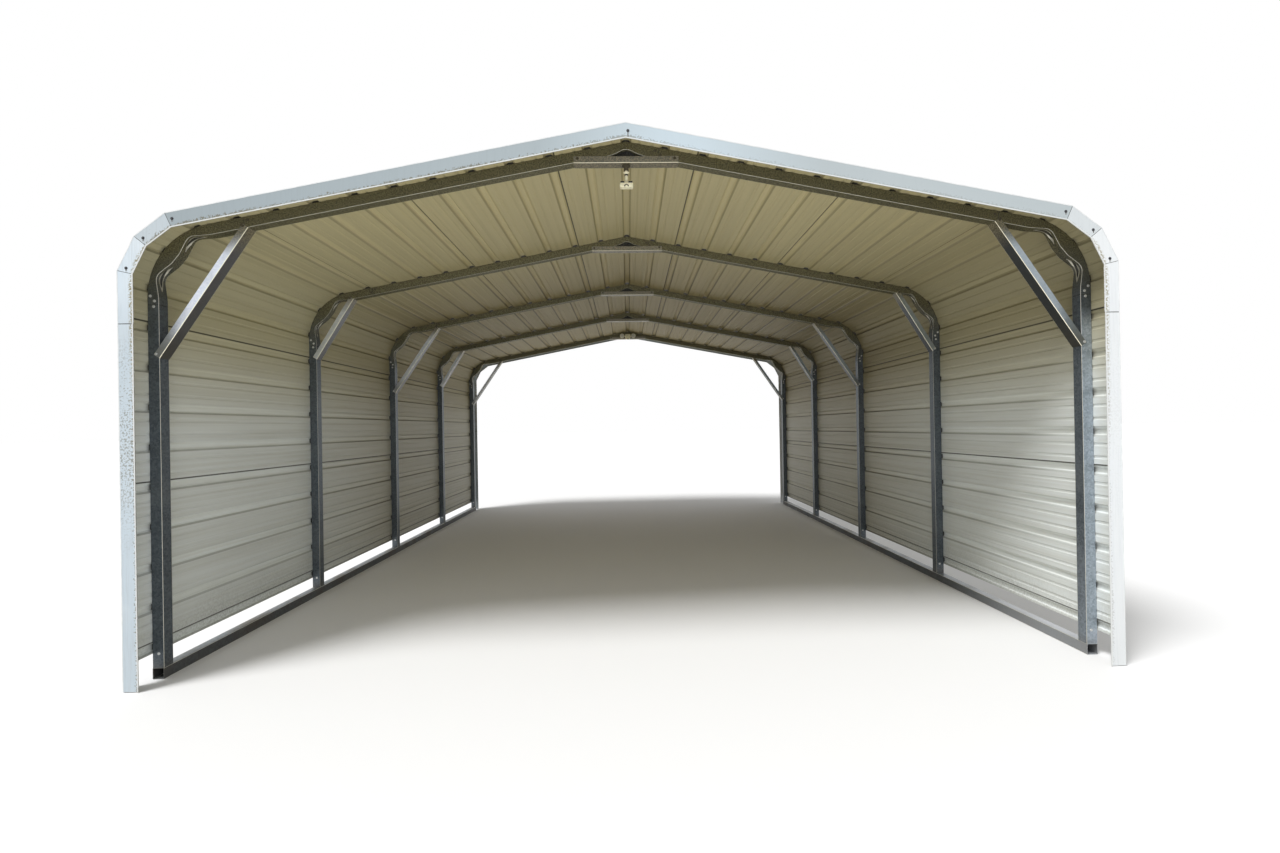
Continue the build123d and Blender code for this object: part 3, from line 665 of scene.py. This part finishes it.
def mildew_share(tree, z, out, cloud, speck, left):
    """Share of mildew: specks towards the lower edges, and a mottled stretch of the left leg trim."""
    low = add(tree, "MapRange", {"Value": out, "From Min": -0.03, "From Max": -0.06, "To Max": 0.42})
    reach = add(tree, "Math", {0: low, 1: speck}, operation="ADD")
    reach = add(tree, "Math", {0: cloud, 1: 0.35, 2: reach}, operation="MULTIPLY_ADD")
    mildew = add(tree, "MapRange", {"Value": reach, "From Min": 0.9, "From Max": 1.0, "To Max": 0.8})
    mottled = add(tree, "Math", {0: cloud, 1: 0.4, 2: speck}, operation="MULTIPLY_ADD")
    mottled = add(tree, "MapRange", {"Value": mottled, "From Min": 0.69, "From Max": 0.79, "To Max": 0.62})
    lowered = add(tree, "MapRange", {"Value": z, "From Min": 1.95, "From Max": 1.65})
    raised = add(tree, "MapRange", {"Value": z, "From Min": 0.7, "From Max": 1.2})
    for share in (lowered, raised, left):
        mottled = add(tree, "Math", {0: mottled, 1: share}, operation="MULTIPLY")
    mildew = add(tree, "Math", {0: mildew, 1: mottled}, operation="MAXIMUM")
    return add(tree, "Math", {0: mildew, 1: left}, operation="MULTIPLY")


def eave_stain(tree, z, out, speck):
    """Share of the patchy stain down the trim's inner edge, from the folds to the leg."""
    stain = add(tree, "MapRange", {"Value": out, "From Min": -0.03, "From Max": -0.05})
    below = add(tree, "MapRange", {"Value": z, "From Min": 2.44, "From Max": 2.38})
    above = add(tree, "MapRange", {"Value": z, "From Min": 1.2, "From Max": 2.1})
    patch = add(tree, "MapRange", {"Value": speck, "From Min": 0.44, "From Max": 0.56, "To Max": 0.85})
    for share in (below, above, patch):
        stain = add(tree, "Math", {0: stain, 1: share}, operation="MULTIPLY")
    return stain


def coated_trim():
    """Brake-formed steel trim, coil coated in glossy white polyester.

    To the eye: a cool white, painted greyer on the left as shade, with faint upright streaks,
    and painted shade with a grey film on the roof stretches. Mildew specks thicken towards the
    lower edges and down the left leg, a brown stain follows the inner edge round the eave, and
    the rolled lip is painted brighter as a highlight.
    """
    material, tree, shader, place = new_material("white_polyester_trim", Coat_Weight=0.15)
    run, out, *_ = skin_coordinates(tree, place)
    x, y, z = add(tree, "SeparateXYZ", {0: place}).outputs
    drawn = add(tree, "Mapping", {"Vector": place, "Scale": TRIM_STREAKS})
    streak = add(tree, "TexNoise", {"Vector": drawn, "Scale": 1.0, "Detail": 3.0})
    cloud = add(tree, "TexNoise", {"Vector": place, "Scale": 1 / TRIM_CLOUD, "Detail": 5.0})
    speck = add(tree, "TexNoise", {"Vector": place, "Scale": 1 / MILDEW_SPECK, "Detail": 4.0})
    # Share of the left side, which is painted greyer as shade
    left = add(tree, "MapRange", {"Value": x, "From Min": 0.5, "From Max": -0.5, "To Min": 0.3})
    faint = add(tree, "MapRange", {"Value": streak, "From Min": 0.5, "From Max": 0.72, "To Max": 0.45})
    faint = add(tree, "Math", {0: faint, 1: left}, operation="MULTIPLY")
    patchy = add(tree, "MapRange", {"Value": cloud, "From Min": 0.45, "From Max": 0.7, "To Max": 0.3})
    film, laid = roof_shade_film(tree, x, run)
    mildew = mildew_share(tree, z, out, cloud, speck, left)
    # Painted highlight: the rolled lip is brighter than the face
    depth = add(tree, "Math", {0: y}, operation="ABSOLUTE")
    depth = add(tree, "Math", {0: depth, 1: TRIM_FACE_Y}, operation="SUBTRACT")
    edge = {"From Min": LIP_START, "From Max": LIP_WHOLE}
    lip = add(tree, "MapRange", {"Value": depth, **edge, "To Max": 0.85})
    # Painted shade: greyer on the left, more so down the leg
    leg = add(tree, "MapRange", {"Value": z, "From Min": 2.2, "From Max": 1.95})
    grey = add(tree, "Mix", {0: leg, 6: "#dce9f4", 7: "#c9d6e0"}, data_type="RGBA")
    shade = add(tree, "Mix", {0: left, 6: "#fcfdfe", 7: grey}, data_type="RGBA")
    for share, colour in (
        (faint, "#b9c2c9"), (patchy, "#f3f6f8"), (laid, film), (mildew, "#6f6a55"),
        (eave_stain(tree, z, out, speck), "#9a8f6c"), (lip, "#f0f3f4"),
    ):
        shade = add(tree, "Mix", {0: share, 6: shade, 7: colour}, data_type="RGBA")
    dull = add(tree, "MapRange", {"Value": mildew, "To Min": 0.32, "To Max": 0.8})
    finish_material(tree, shader, shade, dull, cloud, 0.0008)
    return material


def aged_plastic():
    """Injection-moulded ABS lamp housing, once white, gone cream in the sun.

    To the eye: a soft-sheened cream with a fine moulded grain and dust settled in blotches.
    """
    material, tree, shader, place = new_material("cream_abs_plastic", Subsurface_Weight=0.05)
    grain = add(tree, "TexNoise", {"Vector": place, "Scale": 1 / MOULDED_GRAIN, "Detail": 2.0})
    dust = add(tree, "TexNoise", {"Vector": place, "Scale": 1 / DUST_BLOTCH, "Detail": 4.0})
    settled = add(tree, "MapRange", {"Value": dust, "From Min": 0.45, "From Max": 0.7, "To Max": 0.45})
    shade = add(tree, "Mix", {0: settled, 6: "#fdf6d6", 7: "#bdb18b"}, data_type="RGBA")
    dull = add(tree, "MapRange", {"Value": settled, "To Min": 0.42, "To Max": 0.75})
    finish_material(tree, shader, shade, dull, grain, 0.0001)
    return material


def plain_finish(name, pale, dark, grit, gloss, metallic=0.0):
    """A small part's finish: two shades mottled at a grit size in metres, with its gloss."""
    material, tree, shader, place = new_material(name, Metallic=metallic)
    mottle = add(tree, "TexNoise", {"Vector": place, "Scale": 1 / grit, "Detail": 4.0})
    share = add(tree, "MapRange", {"Value": mottle, "From Min": 0.35, "From Max": 0.65})
    shade = add(tree, "Mix", {0: share, 6: dark, 7: pale}, data_type="RGBA")
    dull = add(tree, "MapRange", {"Value": share, "To Min": gloss + 0.15, "To Max": gloss})
    finish_material(tree, shader, shade, dull, mottle, grit / 20)
    return material


frame_steel = galvanised_tube()
rail_steel = galvanised_rail()
channel_steel = galvanised_channel()
sheet_steel = coated_sheet()
trim_steel = coated_trim()
lamp_plastic = aged_plastic()
# Zinc-plated screw heads: bright, with duller patches
screw_zinc = plain_finish("zinc_plated_screw", "#eceded", "#b5b6b3", 0.004, 0.3, 0.5)
# The same screws under the roof, and the sensor light's bracket: dark brown, partly dust and partly
# painted shade
dark_brown_screw = plain_finish("dark_brown_screw", "#5f5846", "#3a3528", 0.004, 0.7, 0.2)
# Screw heads on the trim, rusted dark by run-off
screw_rust = plain_finish("rusted_screw", "#46464a", "#232427", 0.003, 0.55)
# Rust and dirt that rain has drawn down the paint under a screw: flat and matt
rust_run = plain_finish("rust_run", "#6f675f", "#4a4038", 0.006, 0.8)
# Dirt packed into the laps and joints, and the painted shade under each peak bend: nearly black, with no
# shine
lap_dirt_and_shade = plain_finish("lap_dirt_and_shade", "#4a4a46", "#2c2c2a", 0.01, 0.85)
# Painted highlight: a white edge where the trim is folded over itself
fold_highlight = plain_finish("folded_white_edge", "#f4f6f7", "#e4e8ea", 0.05, 0.3)
# Painted shade: the dark insert in the sensor's slot, the bars on its head's shoulders and the ring at its
# neck; nearly black, with a soft shine
smoked_plastic_and_shade = plain_finish("smoked_polycarbonate_and_shade", "#1d1a15", "#12100d", 0.01, 0.25)
# Prismatic glass of the flood lamps: pale, glossy and slightly grey
lamp_glass = plain_finish("prismatic_lamp_glass", "#e9e7dd", "#cfcdc2", 0.006, 0.08)

for name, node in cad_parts.items():
    if "sheet" in name:
        finish = sheet_steel
    elif "trim" in name:
        finish = trim_steel
    elif "light" in name:
        finish = lamp_plastic
    elif "rails" in name:
        finish = rail_steel
    elif "braces" in name:
        finish = channel_steel
    else:
        finish = frame_steel
    for slot in node.material_slots:
        slot.material = finish


# Pieces

def finish_piece(name, mesh, material):
    """Turn a finished bmesh into an object that stays with the carport."""
    bmesh.ops.recalc_face_normals(mesh, faces=mesh.faces)
    data = bpy.data.meshes.new(name)
    mesh.to_mesh(data)
    mesh.free()
    data.materials.append(material)
    made = bpy.data.objects.new(name, data)
    bpy.context.scene.collection.objects.link(made)
    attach(made, "root")


def make(name, material, slot, *builders):
    """Build one joined piece from its builders."""
    mesh = bmesh.new()
    for builder in builders:
        builder(mesh)
    finish_piece(name, mesh, material)


def add_screw(mesh, place, out):
    """Self-drilling hex screw: a thin flange and a six-sided head, with a slight taper."""
    stand = Matrix.Translation(place) @ out.to_track_quat("Z", "Y").to_matrix().to_4x4()
    for sides, radius, low, high in SCREW_STEPS:
        middle = Matrix.Translation((0, 0, (low + high) / 2))
        bmesh.ops.create_cone(
            mesh, cap_ends=True, segments=sides, radius1=radius, radius2=radius * SCREW_TAPER,
            depth=high - low, matrix=stand @ middle,
        )


def add_bar(mesh, start, end, width, depth, face=Vector((0, 1, 0))):
    """Flat bar from one point to another, its depth along the face's direction."""
    along = end - start
    wide = face.cross(along).normalized()
    turn = Matrix((wide, face, along.normalized())).transposed().to_4x4()
    size = Matrix.Diagonal((width, depth, along.length, 1))
    bmesh.ops.create_cube(mesh, size=1.0, matrix=Matrix.Translation((start + end) / 2) @ turn @ size)


def add_round(mesh, top, radius, drop, depth):
    """Upright cylinder, its middle at a drop below a point."""
    bmesh.ops.create_cone(
        mesh, cap_ends=True, segments=32, radius1=radius, radius2=radius, depth=depth,
        matrix=Matrix.Translation(top - Vector((0, 0, drop))),
    )


def joint_screws(mesh, runs, spots):
    """Screws aslant across the tube joints at the given runs, on both faces."""
    for number in range(1, FRAMES + 1):
        for run in runs:
            for end in ENDS:
                y = frame_y(number) + end * TUBE / 2
                for step, depth in spots:
                    place = skin_point(math.copysign(abs(run) + step, run), -depth)
                    add_screw(mesh, place + Vector((0, y, 0)), Vector((0, end, 0)))


def knee_screw_points(drop, reach):
    """Two screw places near a right knee brace's ends, out from its web."""
    head_x = WIDTH / 2 - TUBE - reach
    foot = Vector((WIDTH / 2 - TUBE - BRACE_CLEARANCE, 0, LEG_TOP - drop))
    head = Vector((head_x, 0, APEX_Z - head_x * math.tan(SLOPE) - BRACE_SEAT))
    along = (head - foot).normalized()
    out = Vector((along.z, 0, -along.x)) * KNEE_SCREW_OUT
    return foot + along * KNEE_SCREW_INSET + out, head - along * KNEE_SCREW_INSET + out


def brace_screws(low_mesh, high_mesh):
    """A screw through each flange at both ends of every brace; the high ones are dark brown."""
    peak = Vector((PEAK_BRACE_LENGTH / 2 - PEAK_SCREW_INSET, 0, PEAK_WEB_Z + PEAK_SCREW_RISE))
    for number in range(1, FRAMES + 1):
        foot, head = knee_screw_points(*(LONG_BRACE if number % 2 else SHORT_BRACE))
        for end in ENDS:
            y = frame_y(number) + end * (TUBE / 2 + BRACE_OUT)
            for mesh, point in ((low_mesh, foot), (high_mesh, head), (high_mesh, peak)):
                for side in SIDES:
                    add_screw(mesh, Vector((side * point.x, y, point.z)), Vector((0, end, 0)))


def foot_screws(mesh):
    """One screw through each leg's foot into the pin on the rail, front and back."""
    x = WIDTH / 2 - TUBE / 2 - FOOT_SCREW_SHIFT
    for number in range(1, FRAMES + 1):
        for side in SIDES:
            for end in ENDS:
                y = frame_y(number) + end * TUBE / 2
                add_screw(mesh, Vector((side * x, y, FOOT_SCREW_Z)), Vector((0, end, 0)))


def sheet_screws(mesh):
    """Screws beside every rib at each frame, on the outside of the sheets."""
    for number in range(1, FRAMES + 1):
        for rib in range(SHEET_SCREW_RIBS):
            for side in SIDES:
                run = side * (rib * RIB_PITCH + SHEET_SCREW_STEP)
                place = skin_point(run, SHEET_SKIN)
                out = (skin_point(run, 1.0) - place).normalized()
                add_screw(mesh, place + Vector((0, frame_y(number), 0)), out)


def trim_screw_places():
    """Places on the right half of a trim's face: beside the apex and above each fold."""
    line = trim_line(TRIM_STAND - TRIM_SCREW_IN, TRIM_SPLICE)
    places = [line[0] + Vector((APEX_SCREW_X, 0, -APEX_SCREW_DROP))]
    for fold, before in zip(line[1:-1], line):
        places.append(fold + (before - fold).normalized() * FOLD_SCREW_STEP)
    return places


def trim_screws(mesh, runs):
    """Rusted screws on the trims' faces, one at the apex, each with the rust that runs down from it."""
    for end in ENDS:
        for number, place in enumerate(trim_screw_places()):
            drop = Vector((0, 0, RUST_LENGTH if number else APEX_RUST_LENGTH))
            for side in SIDES if number else (1,):
                spot = Vector((side * place.x, end * TRIM_FACE_Y, place.z))
                add_screw(mesh, spot, Vector((0, end, 0)))
                add_bar(runs, spot, spot - drop, RUST_WIDTH, MARK_DEPTH)


def joint_lines(mesh):
    """Dirt lines where tubes butt together, on the end faces and the inner face."""
    half = TUBE / 2
    for number in range(1, FRAMES + 1):
        for run in (*LEG_JOINTS, *ROOF_JOINTS):
            for end in ENDS:
                y = Vector((0, frame_y(number) + end * half, 0))
                high = skin_point(run, -LINE_INSET) + y
                low = skin_point(run, LINE_INSET - TUBE) + y
                add_bar(mesh, high, low, LINE_WIDTH, LINE_DEPTH)
            inner = skin_point(run, -TUBE)
            out = (skin_point(run) - inner).normalized()
            middle = inner + Vector((0, frame_y(number), 0))
            along = Vector((0, half - LINE_WIDTH, 0))
            add_bar(mesh, middle - along, middle + along, LINE_WIDTH, LINE_DEPTH, out)


def trim_lines(mesh):
    """Dirt lines across the trims at each fold, and a wider one at the splice on the leg."""
    outer = trim_line(TRIM_STAND - FOLD_LINE_INSET, TRIM_SPLICE)[1:]
    inner = trim_line(TRIM_STAND - ROOF_TRIM_FACE, TRIM_SPLICE)[1:]
    for end in ENDS:
        y = Vector((0, end * TRIM_FACE_Y, 0))
        for high, low in zip(outer, inner):
            width = SPLICE_LINE_WIDTH if high is outer[-1] else FOLD_LINE_WIDTH
            for side in SIDES:
                flip = Vector((side, 1, 1))
                add_bar(mesh, high * flip + y, low * flip + y, width, MARK_DEPTH)


def peak_shade_plate(mesh):
    """Dark plate, painted as shade, in the gap between the peak bend and its brace."""
    low = PEAK_WEB_Z + PEAK_SHADE_FOOT
    high = APEX_Z - TUBE / math.cos(SLOPE) + PEAK_SHADE_TOP
    half = Vector((PEAK_SHADE_HALF, 0, 0))
    for number in range(1, FRAMES + 1):
        middle = Vector((0, frame_y(number), (low + high) / 2))
        add_bar(mesh, middle - half, middle + half, high - low, PEAK_SHADE_DEPTH)


def ribbon(mesh, first, second, start_y, depth):
    """Band between two lines in the XZ plane, given a depth along Y."""
    rows = []
    for line in (first, second):
        row = [mesh.verts.new(point + Vector((0, start_y, 0))) for point in line]
        rows += [mesh.edges.new(pair) for pair in zip(row, row[1:])]
    made = bmesh.ops.bridge_loops(mesh, edges=rows)["faces"]
    grown = bmesh.ops.extrude_face_region(mesh, geom=made)["geom"]
    moved = [part for part in grown if isinstance(part, bmesh.types.BMVert)]
    bmesh.ops.translate(mesh, verts=moved, vec=(0, depth, 0))


def edge_beads(mesh):
    """Painted highlight along the edge where each trim's face turns over to its return."""
    for end in ENDS:
        for side in SIDES:
            flip = Vector((side, 1, 1))
            outer = [point * flip for point in trim_line(TRIM_STAND, TRIM_FOOT)]
            inner = [point * flip for point in trim_line(TRIM_STAND - EDGE_HIGHLIGHT_WIDTH, TRIM_FOOT)]
            ribbon(mesh, outer, inner, end * TRIM_FACE_Y, end * EDGE_HIGHLIGHT_DEPTH)


def sensor_middle(height):
    """Point on the sensor light's upright middle line."""
    low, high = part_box("sensor_light")
    return Vector(((low[0] + high[0]) / 2, (low[1] + high[1]) / 2, height))


def sensor_window_and_shade(mesh):
    """Dark insert, bent like a roof, in the sensor head's slot, with black bars on the head's shoulders
    and a black collar at its neck, all painted as shade.
    """
    low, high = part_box("sensor_light")
    window_y = low[1] + WINDOW_SET_BACK
    top = Vector((0, window_y, low[2] + WINDOW_HIGH))
    for side in SIDES:
        start = Vector((side * WINDOW_HALF, window_y, low[2] + WINDOW_LOW))
        add_bar(mesh, start, top, *WINDOW_SIZE)
        shoulder_shade = sensor_middle(low[2]) + Vector(SHOULDER_SHADE_START) * Vector((side, 1, 1))
        add_bar(mesh, shoulder_shade, shoulder_shade + Vector((side * SHOULDER_SHADE_LENGTH, 0, 0)), *SHOULDER_SHADE_SIZE)
    add_round(mesh, sensor_middle(high[2]), *COLLAR)


def sensor_bracket(mesh):
    """Dark brown bracket that hangs the sensor light from the peak brace, its plate painted dark as the
    shade under the brace.
    """
    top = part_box("sensor_light")[1][2]
    for size in (BRACKET_PLATE, BRACKET_SLEEVE):
        add_round(mesh, sensor_middle(top), *size)


def flood_lenses(mesh):
    """Shallow domed lens in each flood lamp."""
    for side in SIDES:
        dome = bmesh.new()
        bmesh.ops.create_uvsphere(dome, u_segments=32, v_segments=16, radius=LENS_RADIUS)
        bmesh.ops.bisect_plane(
            dome, geom=dome.verts[:] + dome.edges[:] + dome.faces[:],
            plane_co=(0, 0, 0), plane_no=(0, 1, 0), clear_outer=True,
        )
        bmesh.ops.holes_fill(dome, edges=dome.edges)
        bmesh.ops.scale(dome, verts=dome.verts, vec=(1, LENS_DOME, 1))
        place = (side * LENS_X, frame_y(FRAMES) - LENS_AHEAD, LENS_Z)
        bmesh.ops.translate(dome, verts=dome.verts, vec=place)
        data = bpy.data.meshes.new("dome")
        dome.to_mesh(data)
        dome.free()
        mesh.from_mesh(data)
        bpy.data.meshes.remove(data)


low_screws, high_screws = bmesh.new(), bmesh.new()
joint_screws(low_screws, LEG_JOINTS, LEG_JOINT_SCREWS)
joint_screws(high_screws, ROOF_JOINTS, ROOF_JOINT_SCREWS)
brace_screws(low_screws, high_screws)
foot_screws(low_screws)
finish_piece("frame_screws", low_screws, screw_zinc)
finish_piece("roof_frame_screws", high_screws, dark_brown_screw)
make("sheet_screws", screw_zinc, "painted_sheet", sheet_screws)
make("joint_lap_lines_and_peak_shade", lap_dirt_and_shade, "painted_trim", joint_lines, trim_lines, peak_shade_plate)
make("trim_edge_beads", fold_highlight, "painted_trim", edge_beads)
make("sensor_window_and_shade", smoked_plastic_and_shade, "lamp_plastic", sensor_window_and_shade)
make("sensor_bracket", dark_brown_screw, "lamp_plastic", sensor_bracket)
make("flood_lenses", lamp_glass, "lamp_plastic", flood_lenses)
heads, stains = bmesh.new(), bmesh.new()
trim_screws(heads, stains)
finish_piece("trim_screws", heads, screw_rust)
finish_piece("rust_runs", stains, rust_run)


# Studio

def sees_background(tree):
    """1 for rays that come straight from the camera or by a reflection or through glass."""
    path = add(tree, "LightPath").outputs
    seen = path["Is Camera Ray"]
    for other in ("Is Glossy Ray", "Is Transmission Ray"):
        seen = add(tree, "Math", {0: seen, 1: path[other]}, operation="MAXIMUM")
    return seen


def add_floor():
    """Plain pale floor that keeps the carport's shadow."""
    mesh = bmesh.new()
    bmesh.ops.create_grid(mesh, x_segments=1, y_segments=1, size=FLOOR_HALF)
    data = bpy.data.meshes.new("floor")
    mesh.to_mesh(data)
    mesh.free()
    floor = bpy.data.objects.new("floor", data)
    floor.location.z = -FLOOR_DROP
    bpy.context.scene.collection.objects.link(floor)
    material = bpy.data.materials.new("pale_floor")
    material.use_nodes = True
    tree = material.node_tree
    shade = add(tree, "Mix", {0: sees_background(tree), 6: "#c6c3ba", 7: "#f6f6f6"}, data_type="RGBA")
    coat = add(tree, "BsdfDiffuse", {"Color": shade})
    tree.links.new(coat.outputs[0], tree.nodes["Material Output"].inputs["Surface"])
    data.materials.append(material)


def add_lamp(lamp, aim):
    """Put a lamp in the scene, pointed along a direction."""
    holder = bpy.data.objects.new(lamp.name, lamp)
    holder.rotation_euler = aim.to_track_quat("-Z", "Y").to_euler()
    bpy.context.scene.collection.objects.link(holder)
    return holder


def add_light():
    """Soft sky all round, one soft key sun from the front left, and a low fill before the mouth."""
    world = bpy.data.worlds.new("studio")
    bpy.context.scene.world = world
    world.use_nodes = True
    tree = world.node_tree
    seen = sees_background(tree)
    strength = add(tree, "MapRange", {"Value": seen, "To Min": SKY_STRENGTH, "To Max": 1.0})
    tree.links.new(strength.outputs[0], tree.nodes["Background"].inputs["Strength"])
    tree.nodes["Background"].inputs["Color"].default_value = linear("#ffffff")
    key = bpy.data.lights.new("key", "SUN")
    key.energy = KEY_STRENGTH
    key.angle = KEY_SPREAD
    add_lamp(key, KEY_AIM)
    fill = bpy.data.lights.new("fill", "AREA")
    fill.shape = "RECTANGLE"
    fill.size, fill.size_y = FILL_SIZE
    fill.energy = FILL_WATTS
    fill.color = linear("#f4f8ff")[:3]
    holder = add_lamp(fill, FILL_AIM)
    holder.location = FILL_PLACE
    holder.visible_camera = False


def add_camera():
    """Camera at the photograph's place, turned by its yaw, pitch and roll."""
    data = bpy.data.cameras.new("camera")
    data.sensor_width = SENSOR_MM
    data.lens = FOCAL_PX / IMAGE_WIDTH * SENSOR_MM
    data.clip_end = VIEW_DEPTH
    camera = bpy.data.objects.new("camera", data)
    bpy.context.scene.collection.objects.link(camera)
    cos_yaw, sin_yaw = math.cos(CAMERA_YAW), math.sin(CAMERA_YAW)
    cos_pitch, sin_pitch = math.cos(CAMERA_PITCH), math.sin(CAMERA_PITCH)
    forward = Vector((sin_yaw * cos_pitch, cos_yaw * cos_pitch, sin_pitch))
    level = Vector((cos_yaw, -sin_yaw, 0))
    up = level.cross(forward)
    right = math.cos(CAMERA_ROLL) * level + math.sin(CAMERA_ROLL) * up
    up = math.cos(CAMERA_ROLL) * up - math.sin(CAMERA_ROLL) * level
    turn = Matrix((right, up, -forward)).transposed().to_4x4()
    camera.matrix_world = Matrix.Translation(CAMERA_PLACE) @ turn
    bpy.context.scene.camera = camera


add_floor()
add_light()
add_camera()
bpy.context.scene.view_settings.view_transform = "Standard"
